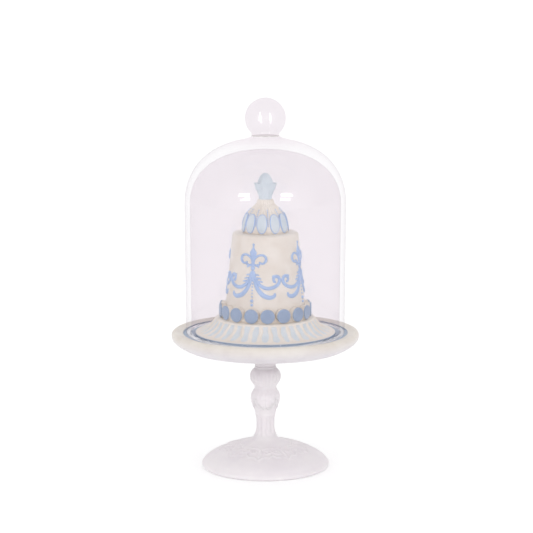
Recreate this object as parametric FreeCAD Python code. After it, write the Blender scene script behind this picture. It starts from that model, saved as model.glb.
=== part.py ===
import FreeCAD, Part
import math
import os

# Pedestal cake stand with a lift-off glass dome over a decorative resin cake.
# Millimetres, +Z up, z = 0 on the table top, front of the object towards -Y.

os.makedirs("parts", exist_ok=True)

Vec = FreeCAD.Vector
AXIS = Vec(0, 0, 1)
ORIGIN = Vec(0, 0, 0)

# Pedestal
FOOT_RADIUS = 52.1
FOOT_TOP_Z = 25.5
STEM_FOOT_RADIUS = 9.4
STEM_TOP_Z = 82.0
STEM_LOBES = 12
COLLAR_RADIUS = 8.9

# Plate
PLATE_BOTTOM_Z = 99.9
SEAT_Z = 111.0
SEAT_RADIUS = 67.2
SEAT_LIP_Z = 112.1
PLATE_RIM_TOP_Z = 113.5

# Glass dome: wall thickness and thickness at the crown
DOME_RADIUS = 65.4
DOME_FOOT_RADIUS = 64.6
GLASS = 4.2
CROWN_GLASS = 9.5
SHOULDER_Z = 216.0
CROWN_Z = 271.0
CROWN_POWER = 2.3
NECK_RADIUS = 11.6
NECK_Z = 272.5
KNOB_RADIUS = 16.5
KNOB_CENTRE_Z = 287.0

# Skirt and disc row
SKIRT_TOP_Z = 125.0
SKIRT_PLEATS = 36
DISC_COUNT = 17
DISC_FIRST_AZIMUTH = 3.0
DISC_RADIUS = 5.65
DISC_CENTRE_Z = 131.3
DISC_FACE_RADIUS = 37.5
DISC_THICKNESS = 1.2
LEDGE_RADIUS = 35.2
BACKING_RADIUS = 6.2

# Middle tier
TIER_BOTTOM_RADIUS = 33.3
TIER_TOP_RADIUS = 26.8
TIER_TOP_Z = 194.7
TIER_EDGE = 2.0

# Relief on the middle tier
MOTIF_AZIMUTHS = [-20.0, 70.0, 160.0, 250.0]
RELIEF = 1.5

# Top tier
BELL_TOP_Z = 217.6
BELL_FLUTES = 22
MEDALLION_COUNT = 11
MEDALLION_FIRST_AZIMUTH = -8.4
MEDALLION_HALF_WIDTH = 4.3
MEDALLION_HALF_HEIGHT = 7.3
MEDALLION_CENTRE_Z = 203.6
MEDALLION_BORDER = 0.9
DOT_RADIUS = 0.5
FIELD_RELIEF = 0.6
BORDER_RELIEF = 1.0
FINIAL_COLLAR_TOP_Z = 221.6
FINIAL_TOP_Z = 242.9
BUD_EDGE_AZIMUTH = -25.0


def save(shape, node):
    shape.exportStep("parts/" + node + ".step")


def at_azimuth(radius, azimuth, z):
    """Point at a radius from the axis; azimuth 0 faces -Y and grows towards +X."""
    turn = math.radians(azimuth)
    return Vec(radius * math.sin(turn), -radius * math.cos(turn), z)


def spline(points):
    curve = Part.BSplineCurve()
    curve.interpolate(points)
    return curve.toShape()


def profile_spline(pairs):
    return spline([Vec(r, 0, z) for r, z in pairs])


def profile_line(start, end):
    return Part.makeLine(Vec(start[0], 0, start[1]), Vec(end[0], 0, end[1]))


def profile_arc(start, middle, end):
    points = [Vec(r, 0, z) for r, z in (start, middle, end)]
    return Part.Arc(*points).toShape()


def revolve(edges):
    face = Part.Face(Part.Wire(Part.__sortEdges__(edges)))
    return face.revolve(ORIGIN, AXIS, 360)


def lobed_loft(sections, lobes):
    """Solid through closed lobed outlines, one per (z, radius, lobe height)."""
    wires = []
    for z, radius, height in sections:
        count = lobes * 4
        points = []
        for i in range(count):
            turn = 360.0 * i / count
            lobe = 0.5 * height * math.cos(math.radians(lobes * turn))
            points.append(at_azimuth(radius - lobe, turn, z))
        curve = Part.BSplineCurve()
        curve.interpolate(Points=points, PeriodicFlag=True)
        wires.append(Part.Wire(curve.toShape()))
    return Part.makeLoft(wires, True, False)


def pedestal_foot():
    """Domed foot with a rounded edge and a shallow hollow underneath."""
    top = [(STEM_FOOT_RADIUS, FOOT_TOP_Z), (12.1, 22.4), (22.0, 18.8), (33.0, 15.3),
           (42.0, 11.9), (48.5, 7.9), (FOOT_RADIUS, 3.6)]
    edges = [
        profile_line((0, FOOT_TOP_Z), (STEM_FOOT_RADIUS, FOOT_TOP_Z)),
        profile_spline(top),
        profile_arc((FOOT_RADIUS, 3.6), (51.9, 1.3), (50.0, 0)),
        profile_line((50.0, 0), (47.5, 0)),
        profile_spline([(47.5, 0), (42.0, 5.0), (33.0, 8.4), (22.0, 11.2), (0, 13.5)]),
        profile_line((0, 13.5), (0, FOOT_TOP_Z)),
    ]
    return revolve(edges)


def pedestal_stem():
    """Turned stem: fluted shaft, lower bulb, waist and gadrooned upper bulb."""
    sections = [(FOOT_TOP_Z, STEM_FOOT_RADIUS, 0.1), (29.0, 7.9, 0.3), (35.0, 7.5, 0.5),
                (40.0, 7.7, 0.5), (44.2, 8.3, 0.4), (48.4, 9.8, 0.6), (52.5, 11.5, 0.8),
                (57.4, 12.3, 0.8), (62.0, 11.0, 0.5), (66.0, 8.8, 0.1), (70.0, 10.6, 0.6),
                (75.0, 12.5, 1.0), (79.0, 11.6, 0.8), (STEM_TOP_Z, 9.4, 0.1)]
    return lobed_loft(sections, STEM_LOBES)


def plate():
    """Round plate with a rolled rim; the recess seats the skirt and the dome."""
    rim = [(50.0, PLATE_BOTTOM_Z), (57.0, 99.1), (63.2, 98.8), (71.1, 102.6), (75.4, 106.4),
           (76.6, 109.8), (75.9, 112.2), (73.6, PLATE_RIM_TOP_Z), (70.4, 113.0),
           (SEAT_RADIUS, SEAT_LIP_Z)]
    edges = [
        profile_line((0, PLATE_BOTTOM_Z), (50.0, PLATE_BOTTOM_Z)),
        profile_spline(rim),
        profile_line((SEAT_RADIUS, SEAT_LIP_Z), (SEAT_RADIUS, SEAT_Z)),
        profile_line((SEAT_RADIUS, SEAT_Z), (0, SEAT_Z)),
        profile_line((0, SEAT_Z), (0, PLATE_BOTTOM_Z)),
    ]
    return revolve(edges)


def crown_points(radius, height, steps):
    """Superellipse quarter from the shoulder towards the crown."""
    points = []
    for i in range(steps + 1):
        turn = 0.5 * math.pi * i / steps
        across = math.cos(turn) ** (2.0 / CROWN_POWER) if i < steps else 0.0
        up = math.sin(turn) ** (2.0 / CROWN_POWER)
        points.append((radius * across, SHOULDER_Z + height * up))
    return points


def dome_glass():
    """Bell-shaped glass, thick at the crown, with a rounded bottom edge and a short neck."""
    outer = crown_points(DOME_RADIUS, CROWN_Z - SHOULDER_Z, 18)
    inner = crown_points(DOME_RADIUS - GLASS, CROWN_Z - CROWN_GLASS - SHOULDER_Z, 18)
    flare = [p for p in outer if p[0] > 22.0] + [(13.5, 271.2), (NECK_RADIUS, NECK_Z)]
    round_z = SEAT_Z + 0.5 * GLASS
    foot_outside = (DOME_FOOT_RADIUS, round_z)
    foot_inside = (DOME_FOOT_RADIUS - GLASS, round_z)
    edges = [
        profile_line((0, NECK_Z), (NECK_RADIUS, NECK_Z)),
        profile_spline(flare),
        profile_line((DOME_RADIUS, SHOULDER_Z), foot_outside),
        profile_arc(foot_outside, (DOME_FOOT_RADIUS - 0.5 * GLASS, SEAT_Z), foot_inside),
        profile_line(foot_inside, inner[0]),
        profile_spline(inner),
        profile_line(inner[-1], (0, NECK_Z)),
    ]
    return revolve(edges)


def dome_knob():
    """Ball knob on a short waisted neck."""
    join = math.asin(NECK_RADIUS / KNOB_RADIUS)
    join_z = KNOB_CENTRE_Z - KNOB_RADIUS * math.cos(join)
    edges = [
        profile_line((0, NECK_Z), (NECK_RADIUS, NECK_Z)),
        profile_arc((NECK_RADIUS, NECK_Z), (NECK_RADIUS - 0.6, NECK_Z + 1.5),
                    (NECK_RADIUS, join_z)),
        profile_arc((NECK_RADIUS, join_z), (KNOB_RADIUS, KNOB_CENTRE_Z),
                    (0, KNOB_CENTRE_Z + KNOB_RADIUS)),
        profile_line((0, KNOB_CENTRE_Z + KNOB_RADIUS), (0, NECK_Z)),
    ]
    return revolve(edges)


def skirt():
    """Pleated skirt flaring from the disc row down to the plate's channel."""
    sections = [(SEAT_Z, 57.4, 0.3), (112.4, 57.1, 0.5), (113.2, 55.2, 0.9), (114.6, 51.3, 1.3),
                (116.8, 47.7, 1.5), (119.6, 44.4, 1.5), (122.4, 42.1, 1.2),
                (SKIRT_TOP_Z, 40.0, 0.6)]
    return lobed_loft(sections, SKIRT_PLEATS)


def tier_radius(z):
    share = (z - SKIRT_TOP_Z) / (TIER_TOP_Z - SKIRT_TOP_Z)
    return TIER_BOTTOM_RADIUS + share * (TIER_TOP_RADIUS - TIER_BOTTOM_RADIUS)


def middle_tier():
    """Tapered tier with a rounded top edge."""
    cone = Part.makeCone(TIER_BOTTOM_RADIUS, TIER_TOP_RADIUS, TIER_TOP_Z - SKIRT_TOP_Z,
                         Vec(0, 0, SKIRT_TOP_Z))
    rims = [e for e in cone.Edges if e.BoundBox.ZMin > TIER_TOP_Z - 0.1]
    return cone.makeFillet(TIER_EDGE, rims)


def radial_cylinder(azimuth, z, radius, start, length):
    return Part.makeCylinder(radius, length, at_azimuth(start, azimuth, z),
                             at_azimuth(1.0, azimuth, 0))


def disc_ledge(discs):
    """Cream ring carrying a round backing behind each disc."""
    low = SKIRT_TOP_Z
    ring = Part.makeCylinder(LEDGE_RADIUS, 9.0, Vec(0, 0, low))
    backings = []
    for azimuth in discs:
        start = TIER_BOTTOM_RADIUS - 2.0
        length = DISC_FACE_RADIUS - DISC_THICKNESS - start
        backings.append(radial_cylinder(azimuth, DISC_CENTRE_Z, BACKING_RADIUS, start, length))
    body = ring.multiFuse(backings)
    tier = Part.makeCone(TIER_BOTTOM_RADIUS, TIER_TOP_RADIUS, TIER_TOP_Z - SKIRT_TOP_Z,
                         Vec(0, 0, SKIRT_TOP_Z))
    above = Part.makeCylinder(60.0, 60.0, Vec(0, 0, low))
    return body.cut(tier).common(above).removeSplitter()


def disc(azimuth):
    """Flat disc with softly rounded edges, trimmed level with the skirt's top."""
    back = DISC_FACE_RADIUS - DISC_THICKNESS
    body = radial_cylinder(azimuth, DISC_CENTRE_Z, DISC_RADIUS, back, DISC_THICKNESS)
    front = [e for e in body.Edges if len(e.Vertexes) == 1]
    front.sort(key=lambda e: e.CenterOfMass.Length)
    body = body.makeFillet(0.6, [front[-1]])
    above = Part.makeCylinder(60.0, 60.0, Vec(0, 0, SKIRT_TOP_Z + 0.3))
    return body.common(above)


def relief_shell():
    """Conical skin of the middle tier, as thick as the relief stands proud."""
    height = TIER_TOP_Z - SKIRT_TOP_Z
    base = Vec(0, 0, SKIRT_TOP_Z)
    outer = Part.makeCone(TIER_BOTTOM_RADIUS + RELIEF, TIER_TOP_RADIUS + RELIEF, height, base)
    inner = Part.makeCone(TIER_BOTTOM_RADIUS, TIER_TOP_RADIUS, height, base)
    return outer.cut(inner)


def prism(outline, azimuth):
    """Extrude a closed (across, z) outline through the tier's skin, along an azimuth."""
    flat = [Vec(across, 0, z) for across, z in outline]
    curve = Part.BSplineCurve()
    curve.interpolate(Points=flat, PeriodicFlag=True)
    body = Part.Face(Part.Wire(curve.toShape())).extrude(Vec(0, -50, 0))
    body.rotate(ORIGIN, AXIS, azimuth)
    return body


def stroke(path, widths):
    """Tapered stroke along (degrees from the motif's axis, z) points on the tier."""
    middle = 0.5 * (min(p[0] for p in path) + max(p[0] for p in path))
    flat = []
    for degrees, z in path:
        across = tier_radius(z) * math.sin(math.radians(degrees - middle))
        flat.append(Vec(across, 0, z))
    curve = Part.BSplineCurve()
    curve.interpolate(flat)
    stations = 2 * len(path)
    left = []
    right = []
    for i in range(stations + 1):
        share = i / stations
        place = share * (len(widths) - 1)
        index = min(int(place), len(widths) - 2)
        width = widths[index] + (place - index) * (widths[index + 1] - widths[index])
        u = curve.FirstParameter + share * (curve.LastParameter - curve.FirstParameter)
        along = Vec(*curve.tangent(u)[0])
        side = Vec(-along.z, 0, along.x) * (0.5 * width)
        left.append(curve.value(u) + side)
        right.append(curve.value(u) - side)
    start_cap = Part.makeLine(right[0], left[0])
    end_cap = Part.makeLine(left[-1], right[-1])
    wire = Part.Wire([spline(left), end_cap, spline(right[::-1]), start_cap])
    body = Part.Face(wire).extrude(Vec(0, -50, 0))
    body.rotate(ORIGIN, AXIS, middle)
    return body


def both_sides(path, widths):
    """A stroke and its mirror image across the motif's axis."""
    return [stroke(path, widths), stroke([(-degrees, z) for degrees, z in path], widths)]


def fleur(shell):
    """Pointed petal between two open side loops, over a small cross band."""
    petal = [(0, 188.3), (1.2, 185.0), (2.8, 181.2), (1.4, 177.6), (0.9, 174.0),
             (0, 172.6), (-0.9, 174.0), (-1.4, 177.6), (-2.8, 181.2), (-1.2, 185.0)]
    pieces = [prism(petal, 0)]
    loop = [(1.0, 176.4), (7.0, 179.1), (14.0, 179.9), (20.0, 179.2), (22.4, 176.7),
            (20.6, 174.2), (16.4, 173.1), (11.4, 173.9)]
    pieces += both_sides(loop, [1.4, 1.5, 1.4, 1.7, 1.9, 1.5, 1.2, 1.4])
    pieces += both_sides([(0, 172.9), (5.5, 171.6), (12.4, 171.9)], [1.8, 1.6, 0.9])
    pieces += both_sides([(7.0, 171.7), (11.0, 169.8)], [1.6, 0.9])
    pieces.append(radial_cylinder(0, 169.4, 1.6, 20.0, 20.0))
    pieces.append(radial_cylinder(0, 188.3, 0.7, 20.0, 20.0))
    return join_relief(pieces, shell)


def garland(shell):
    """Flared tassel with an upper swag ending in a volute and a lower leaf each side."""
    tassel = [(0, 167.5), (1.4, 166.4), (2.4, 163.6), (4.9, 159.6), (3.2, 158.9),
              (0, 158.4), (-3.2, 158.9), (-4.9, 159.6), (-2.4, 163.6), (-1.4, 166.4)]
    pieces = [prism(tassel, 0)]
    swag = [(4.5, 161.4), (12.0, 156.3), (22.0, 153.4), (32.0, 154.0), (39.6, 156.4),
            (42.2, 159.8), (39.2, 162.5), (34.6, 162.7), (32.0, 160.7), (33.6, 158.8)]
    pieces += both_sides(swag, [2.6, 2.4, 2.7, 2.4, 2.2, 2.0, 1.8, 1.5, 1.5, 1.8])
    leaf = [(3.0, 159.4), (8.0, 153.0), (17.0, 148.0), (27.5, 146.2), (34.2, 148.6)]
    pieces += both_sides(leaf, [2.2, 2.8, 2.8, 2.4, 1.0])
    for root, tip in (((3.5, 162.4), (13.6, 163.2)), ((6.5, 160.2), (16.8, 160.9)),
                      ((10.5, 157.6), (20.6, 158.4)), ((15.0, 155.6), (24.3, 156.4))):
        bend = (0.5 * (root[0] + tip[0]), 0.5 * (root[1] + tip[1]) - 0.5)
        pieces += both_sides([root, bend, tip], [2.4, 1.7, 0.6])
    return join_relief(pieces, shell)


def join_relief(pieces, shell):
    trimmed = [piece.common(shell) for piece in pieces]
    front = [t.Solids for t in trimmed]
    solids = [s for group in front for s in group if s.CenterOfMass.y < 0]
    return solids[0].multiFuse(solids[1:]).removeSplitter()


def bead(radius, surface_radius, azimuth, z, lean):
    """Half bead lying on a round wall that leans inwards by this many degrees."""
    ball = Part.makeSphere(radius, ORIGIN, AXIS, 0, 90, 360)
    ball.rotate(ORIGIN, Vec(1, 0, 0), 90.0 - lean)
    ball.rotate(ORIGIN, AXIS, azimuth)
    ball.translate(at_azimuth(surface_radius, azimuth, z))
    return ball


def pearl_drop():
    """Seven pearls hanging below the tassel."""
    rise = TIER_TOP_Z - SKIRT_TOP_Z
    lean = math.degrees(math.atan2(TIER_BOTTOM_RADIUS - TIER_TOP_RADIUS, rise))
    pearls = []
    for z, radius in ((156.6, 0.6), (154.6, 0.6), (152.4, 0.6), (149.9, 0.65), (146.8, 0.8),
                      (143.1, 1.2), (139.9, 1.0)):
        pearls.append(bead(radius, tier_radius(z), 0, z, lean))
    return Part.makeCompound(pearls)


def bell_points():
    return [(TIER_TOP_Z, 18.0), (197.0, 18.5), (200.0, 18.4), (204.0, 17.5), (207.9, 15.7),
            (211.0, 13.2), (213.8, 10.6), (BELL_TOP_Z, 6.8)]


def top_tier():
    """Gadrooned bell."""
    heights = [0.0, 0.2, 0.3, 0.4, 0.6, 0.7, 0.7, 0.5]
    sections = [(z, r, h) for (z, r), h in zip(bell_points(), heights)]
    return lobed_loft(sections, BELL_FLUTES)


def bell_offset(proud):
    """The bell grown outwards, without its flutes."""
    pairs = [(r + proud, z) for z, r in bell_points()]
    edges = [
        profile_spline(pairs),
        profile_line(pairs[-1], (0, BELL_TOP_Z)),
        profile_line((0, BELL_TOP_Z), (0, TIER_TOP_Z)),
        profile_line((0, TIER_TOP_Z), pairs[0]),
    ]
    return revolve(edges)


def oval(azimuth, half_width, half_height):
    """Radial prism with an elliptic section, through the bell's skin."""
    ellipse = Part.Ellipse(ORIGIN, half_height, half_width)
    face = Part.Face(Part.Wire(ellipse.toShape()))
    face.rotate(ORIGIN, AXIS, 90)
    face.rotate(ORIGIN, Vec(1, 0, 0), 90)
    body = face.extrude(Vec(0, -40, 0))
    body.translate(Vec(0, 0, MEDALLION_CENTRE_Z))
    body.rotate(ORIGIN, AXIS, azimuth)
    return body


def medallion(azimuth, bell, low_bell, high_bell):
    """Oval medallion with a raised border."""
    outer = oval(azimuth, MEDALLION_HALF_WIDTH, MEDALLION_HALF_HEIGHT)
    inner = oval(azimuth, MEDALLION_HALF_WIDTH - MEDALLION_BORDER,
                 MEDALLION_HALF_HEIGHT - MEDALLION_BORDER)
    border = outer.cut(inner).common(high_bell)
    field = inner.common(low_bell)
    return border.fuse(field).cut(bell).removeSplitter()


def piped_dots(bell):
    """A line of small beads on the ridge between each pair of medallions."""
    dots = []
    for i in range(MEDALLION_COUNT):
        azimuth = MEDALLION_FIRST_AZIMUTH + 360.0 / MEDALLION_COUNT * (i + 0.5)
        for z in [200.6 + 2.1 * k for k in range(7)]:
            low = wall_radius(bell, azimuth, z - 0.5)
            high = wall_radius(bell, azimuth, z + 0.5)
            lean = math.degrees(math.atan2(low - high, 1.0))
            dots.append(bead(DOT_RADIUS, wall_radius(bell, azimuth, z), azimuth, z, lean))
    return Part.makeCompound(dots)


def wall_radius(body, azimuth, z):
    """How far from the axis a body's wall stands at this azimuth and height."""
    ray = Part.makeLine(Vec(0, 0, z), at_azimuth(60.0, azimuth, z))
    inside = ray.common(body)
    return max(math.hypot(v.X, v.Y) for v in inside.Vertexes)


def finial_collar():
    """Crimped collar round the finial's root."""
    sections = [(BELL_TOP_Z, 6.9, 0.2), (218.4, 7.1, 0.5), (220.8, 6.5, 0.5),
                (FINIAL_COLLAR_TOP_Z, 6.2, 0.2)]
    return lobed_loft(sections, BELL_FLUTES)


def finial():
    """Faceted bud between two petals that curl outwards to points."""
    cup = [(FINIAL_COLLAR_TOP_Z, 5.2, 0.3), (224.6, 5.2, 0.8), (227.6, 5.6, 2.2),
           (231.0, 6.3, 4.2), (233.4, 6.6, 5.2), (234.8, 6.55, 5.6)]
    bud = [(224.0, 4.0, 0.3), (231.0, 5.2, 0.7), (235.2, 5.8, 0.9), (237.8, 5.0, 0.9),
           (240.2, 3.5, 0.6), (241.8, 1.9, 0.3), (FINIAL_TOP_Z, 0.5, 0.05)]
    facets = lobed_loft(bud, 4)
    facets.rotate(ORIGIN, AXIS, BUD_EDGE_AZIMUTH - 45.0)
    return lobed_loft(cup, 2).fuse(facets).removeSplitter()


def turned(shape, azimuth):
    copy = shape.copy()
    copy.rotate(ORIGIN, AXIS, azimuth)
    return copy


# Pedestal and plate
save(pedestal_foot(), "pedestal_foot")
save(pedestal_stem(), "pedestal_stem")
save(Part.makeCylinder(COLLAR_RADIUS, PLATE_BOTTOM_Z - STEM_TOP_Z, Vec(0, 0, STEM_TOP_Z)),
     "stem_collar")
save(plate(), "plate")

# Skirt, disc row and middle tier
save(skirt(), "skirt")
disc_azimuths = [DISC_FIRST_AZIMUTH + 360.0 / DISC_COUNT * i for i in range(DISC_COUNT)]
save(disc_ledge(disc_azimuths), "disc_ledge")
for number, azimuth in enumerate(disc_azimuths, 1):
    save(disc(azimuth), "disc_%02d" % number)
tier_shape = middle_tier()
save(tier_shape, "middle_tier")

# Four relief motifs round the middle tier
skin = relief_shell()
fleur_shape = fleur(skin)
garland_shape = garland(skin)
pearl_shape = pearl_drop()
for number, azimuth in enumerate(MOTIF_AZIMUTHS, 1):
    save(turned(fleur_shape, azimuth), "fleur_%d" % number)
    save(turned(garland_shape, azimuth), "garland_%d" % number)
    save(turned(pearl_shape, azimuth), "pearl_drop_%d" % number)

# Top tier, medallions and finial
bell_shape = top_tier()
save(bell_shape, "top_tier")
field_skin = bell_offset(FIELD_RELIEF)
border_skin = bell_offset(BORDER_RELIEF)
for i in range(MEDALLION_COUNT):
    azimuth = MEDALLION_FIRST_AZIMUTH + 360.0 / MEDALLION_COUNT * i
    save(medallion(azimuth, bell_shape, field_skin, border_skin), "medallion_%02d" % (i + 1))
save(piped_dots(bell_shape), "piped_dots")
save(finial_collar(), "finial_collar")
save(finial(), "finial")

# Dome
save(dome_glass(), "dome_glass")
save(dome_knob(), "dome_knob")
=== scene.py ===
import math
import random

import bmesh
import bpy
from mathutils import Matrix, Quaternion, Vector


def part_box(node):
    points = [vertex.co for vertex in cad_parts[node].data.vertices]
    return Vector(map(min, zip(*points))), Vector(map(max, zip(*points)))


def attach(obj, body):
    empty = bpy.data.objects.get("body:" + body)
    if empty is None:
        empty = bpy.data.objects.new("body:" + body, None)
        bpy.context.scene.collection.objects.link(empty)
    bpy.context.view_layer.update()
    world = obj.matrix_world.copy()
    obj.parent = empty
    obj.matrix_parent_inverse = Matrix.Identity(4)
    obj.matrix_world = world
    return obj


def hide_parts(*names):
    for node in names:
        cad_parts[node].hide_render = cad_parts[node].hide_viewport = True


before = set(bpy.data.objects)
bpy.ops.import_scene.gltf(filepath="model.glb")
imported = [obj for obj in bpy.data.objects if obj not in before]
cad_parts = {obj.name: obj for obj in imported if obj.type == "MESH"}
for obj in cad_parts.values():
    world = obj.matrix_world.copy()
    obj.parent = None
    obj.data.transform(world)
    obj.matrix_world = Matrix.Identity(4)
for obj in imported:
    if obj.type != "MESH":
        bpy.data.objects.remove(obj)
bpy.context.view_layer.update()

# Pedestal cake stand with a lift-off glass dome over a decorative resin cake.
# Metres, +Z up; azimuths are in degrees, 0 towards -Y and growing towards +X.

MM = 0.001
random.seed(7)


# -------- sizes from the frame

def extent(node):
    """Radius, bottom and top of a node that stands round the axis."""
    low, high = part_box(node)
    return 0.5 * (high.x - low.x), low.z, high.z


FOOT_R, FLOOR_Z, FOOT_TOP = extent("pedestal_foot")
STEM_LOW, STEM_TOP = extent("pedestal_stem")[1:]
COLLAR_R, COLLAR_LOW, COLLAR_TOP = extent("stem_collar")
PLATE_R, PLATE_LOW, PLATE_TOP = extent("plate")
SKIRT_R, SEAT_Z, SKIRT_TOP = extent("skirt")
TIER_R, TIER_LOW, TIER_TOP = extent("middle_tier")
BELL_LOW, BELL_TOP = extent("top_tier")[1:]
RUFF_R, RUFF_LOW, RUFF_TOP = extent("finial_collar")
FINIAL_R, FINIAL_LOW, FINIAL_TOP = extent("finial")
DOME_R, DOME_LOW, DOME_TOP = extent("dome_glass")
KNOB_R, KNOB_LOW, KNOB_TOP = extent("dome_knob")


def azimuth_of(node):
    """Azimuth of the middle of a node that hangs on a round wall."""
    low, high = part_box(node)
    middle = 0.5 * (low + high)
    return math.degrees(math.atan2(middle.x, -middle.y))


# -------- curves and round walls

def clamp(value, high=1.0):
    """Value held between 0 and high."""
    return min(high, max(0.0, value))


def metres(points, base=0.0):
    """Radii and heights in metres, from ones in millimetres above a base."""
    return [(r * MM, base + z * MM) for r, z in points]


def smooth(points, steps):
    """Catmull-Rom curve through points of any dimension."""
    count = len(points)
    curve = []
    for i in range(count - 1):
        before = points[max(i - 1, 0)]
        here = points[i]
        there = points[i + 1]
        after = points[min(i + 2, count - 1)]
        for k in range(steps):
            t = k / steps
            curve.append(tuple(
                0.5 * (2 * b + (c - a) * t + (2 * a - 5 * b + 4 * c - d) * t * t
                       + (3 * b - a - 3 * c + d) * t ** 3)
                for a, b, c, d in zip(before, here, there, after)))
    curve.append(tuple(points[-1]))
    return curve


def on_axis(radius, azimuth, z):
    """Point at a radius, azimuth and height."""
    turn = math.radians(azimuth)
    return Vector((radius * math.sin(turn), -radius * math.cos(turn), z))


class Wall:
    """A surface of revolution for relief to lie on, measured along its profile."""

    def __init__(self, profile):
        self.profile = profile
        self.along = [0.0]
        for (r0, z0), (r1, z1) in zip(profile, profile[1:]):
            self.along.append(self.along[-1] + math.hypot(r1 - r0, z1 - z0))

    def locate(self, s):
        """Radius, height and outward normal at a distance from the profile's start."""
        last = len(self.profile) - 2
        index = 0
        while index < last and self.along[index + 1] < s:
            index += 1
        r0, z0 = self.profile[index]
        r1, z1 = self.profile[index + 1]
        span = self.along[index + 1] - self.along[index]
        share = (s - self.along[index]) / span
        normal = Vector((-(z1 - z0), r1 - r0)).normalized()
        return r0 + share * (r1 - r0), z0 + share * (z1 - z0), normal

    def distance(self, z):
        """How far along the profile a height is."""
        for index in range(len(self.profile) - 1):
            z0 = self.profile[index][1]
            z1 = self.profile[index + 1][1]
            if min(z0, z1) <= z <= max(z0, z1):
                share = (z - z0) / (z1 - z0)
                return self.along[index] + share * (self.along[index + 1] - self.along[index])
        return self.along[-1]

    def point(self, azimuth, s, proud):
        """Point on the wall, or that far proud of it."""
        r, z, normal = self.locate(s)
        return on_axis(r + proud * normal.x, azimuth, z + proud * normal.y)


# -------- mesh making

def make_object(name, verts, faces, material, body, sharp=40.0):
    """Smooth-shaded piece that rides on a body; creases over sharp degrees stay crisp."""
    mesh = bpy.data.meshes.new(name)
    mesh.from_pydata([tuple(v) for v in verts], [], faces)
    mesh.validate()
    shell = bmesh.new()
    shell.from_mesh(mesh)
    bmesh.ops.recalc_face_normals(shell, faces=shell.faces)
    shell.to_mesh(mesh)
    shell.free()
    for polygon in mesh.polygons:
        polygon.use_smooth = True
    mesh.set_sharp_from_angle(angle=math.radians(sharp))
    mesh.materials.append(material)
    piece = bpy.data.objects.new(name, mesh)
    bpy.context.scene.collection.objects.link(piece)
    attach(piece, body)
    return piece


def spin(profile, segments, bend=None):
    """Vertices and faces of a solid of revolution; the profile starts and ends on the axis.

    bend gives a point's radius and height from its azimuth, row, radius and height.
    """
    verts = [Vector((0, 0, profile[0][1]))]
    rows = profile[1:-1]
    for index, (r, z) in enumerate(rows):
        for k in range(segments):
            azimuth = 360.0 * k / segments
            radius, height = bend(azimuth, index, r, z) if bend else (r, z)
            verts.append(on_axis(radius, azimuth, height))
    verts.append(Vector((0, 0, profile[-1][1])))
    faces = []
    for k in range(segments):
        faces.append((0, 1 + (k + 1) % segments, 1 + k))
    for row in range(len(rows) - 1):
        base = 1 + row * segments
        for k in range(segments):
            after = (k + 1) % segments
            faces.append((base + k, base + after, base + segments + after, base + segments + k))
    base = 1 + (len(rows) - 1) * segments
    top = len(verts) - 1
    for k in range(segments):
        faces.append((base + k, base + (k + 1) % segments, top))
    return verts, faces


def add_mesh(total, part):
    """Append one mesh's vertices and faces to another's."""
    verts, faces = total
    start = len(verts)
    verts.extend(part[0])
    faces.extend(tuple(i + start for i in face) for face in part[1])


def strip(rings, closed_path=False):
    """Faces that join equal rings of vertices into a tube, capped unless it is closed."""
    verts = [v for ring in rings for v in ring]
    count = len(rings[0])
    faces = []
    spans = len(rings) if closed_path else len(rings) - 1
    for i in range(spans):
        a = i * count
        b = ((i + 1) % len(rings)) * count
        for k in range(count):
            n = (k + 1) % count
            faces.append((a + k, a + n, b + n, b + k))
    if not closed_path:
        faces.append(tuple(range(count))[::-1])
        faces.append(tuple(len(verts) - count + k for k in range(count)))
    return verts, faces


def relief(wall, path, widths, height, sink=0.25 * MM, closed=False, groove=0.0, across=10,
           round_off=0.5):
    """Rounded tapered stroke on a wall, along (azimuth, distance) points, widths in metres."""
    if closed:
        line = smooth(path + [path[0]], 5)[:-1]
        size = [widths[0]] * len(line)
    else:
        line = smooth(path, 7)
        places = [i * (len(widths) - 1) / (len(line) - 1) for i in range(len(line))]
        size = []
        for place in places:
            index = min(int(place), len(widths) - 2)
            size.append(widths[index] + (place - index) * (widths[index + 1] - widths[index]))
    flat = []
    for azimuth, s in line:
        flat.append((math.radians(azimuth) * wall.locate(s)[0], s))
    run = [0.0]
    for a, b in zip(flat, flat[1:]):
        run.append(run[-1] + math.hypot(b[0] - a[0], b[1] - a[1]))
    rings = []
    count = len(line)
    for i, (azimuth, s) in enumerate(line):
        ahead = flat[(i + 1) % count] if closed else flat[min(i + 1, count - 1)]
        behind = flat[i - 1] if closed or i else flat[0]
        tangent = Vector((ahead[0] - behind[0], ahead[1] - behind[1])).normalized()
        side = Vector((-tangent.y, tangent.x))
        half = 0.5 * size[i]
        end = half
        if not closed:
            gap = min(run[i], run[-1] - run[i])
            end = half * math.sqrt(max(0.0, 1 - max(0.0, 1 - gap / max(half, 1e-6)) ** 2))
            end = max(end, 0.04 * half)
        rise = height * min(1.0, (size[i] / max(widths)) ** 0.7) * (end / half) ** 0.5
        ring = []
        radius = wall.locate(s)[0]
        for k in range(across + 1):
            v = -1 + 2 * k / across
            bulge = max(0.0, 1 - v * v) ** round_off
            bulge *= 1 - groove * math.exp(-(v / 0.3) ** 2)
            turn = azimuth + math.degrees(side.x * end * v / radius)
            ring.append(wall.point(turn, s + side.y * end * v, rise * bulge - sink))
        rings.append(ring)
    return strip(rings, closed)


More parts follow.
